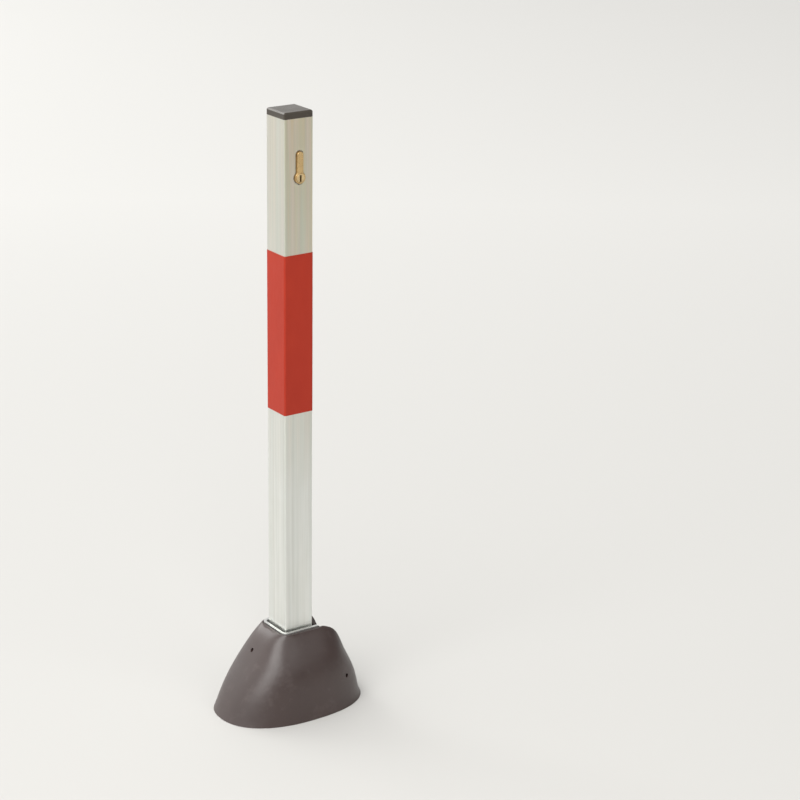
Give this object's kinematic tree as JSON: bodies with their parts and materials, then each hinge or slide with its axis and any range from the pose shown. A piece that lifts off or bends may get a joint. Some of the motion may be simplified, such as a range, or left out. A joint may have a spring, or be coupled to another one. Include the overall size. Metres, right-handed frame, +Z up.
{
  "type": "folding parking post",
  "caption": "Square steel parking post with a red band, a key lock near the top and a fold-down hinge inside a moulded oval base cover.",
  "frame": {"origin": "centre of the base cover's footprint, on the ground", "axes": "+Z up along the post, -Y the lock face, +X the way the post folds down"},
  "size_m": [0.172, 0.1184, 0.67],
  "materials": {
    "zinc_tube": "bright zinc plate with faint lengthwise streaks",
    "zinc_steel": "zinc plated sheet",
    "bright_steel": "plated hardware",
    "dark_steel": "blackened hardware",
    "red_film": "satin red film",
    "cap_plastic": "satin black moulding",
    "cover_plastic": "brown-black moulding with a fine grain",
    "nylon": "natural nylon",
    "lock_brass": "machined brass",
    "plug_brass": "machined brass"
  },
  "bodies": {
    "base": {"base_plate": "zinc_steel", "bracket": "zinc_steel", "keeper_bars": "zinc_steel", "rest_pad": "cap_plastic", "fold_rest": "zinc_steel", "pivot_bolt": "bright_steel", "pivot_nut": "bright_steel", "pivot_washers": "bright_steel", "side_spacers": "nylon", "base_cover": "cover_plastic", "cover_screws": "dark_steel"},
    "post": {"post_tube": "zinc_tube", "red_band": "red_film", "top_cap": "cap_plastic", "pivot_bush": "bright_steel", "rod_guide_lower": "nylon", "rod_guide_upper": "nylon", "side_screws": "bright_steel", "cylinder_body": "lock_brass", "cylinder_set_screw": "dark_steel", "lock_carrier": "nylon"},
    "plug": {"cylinder_plug": "plug_brass", "crank_cam": "bright_steel", "cam_screw": "bright_steel"},
    "rod": {"pull_rod": "bright_steel", "yoke_plate": "zinc_steel", "yoke_rivets": "bright_steel"}
  },
  "joints": [
    {"name": "post_fold", "type": "hinge", "parent": "base", "child": "post", "pos_m": [0.0045, 0, 0.048], "axis": [0, 1, 0], "range_deg": [0, 90]},
    {"name": "plug_turn", "type": "hinge", "parent": "post", "child": "plug", "pos_m": [0.0059, 0, 0.6006], "axis": [0, 1, 0], "range_deg": [0, 90]},
    {"name": "rod_slide", "type": "slide", "parent": "post", "child": "rod", "axis": [0, 0, -1], "range_m": [0, 0.01414]}
  ],
  "couplings": [
    {"joint": "plug_turn", "follows": "rod_slide", "rad_per_m": 111.08}
  ]
}
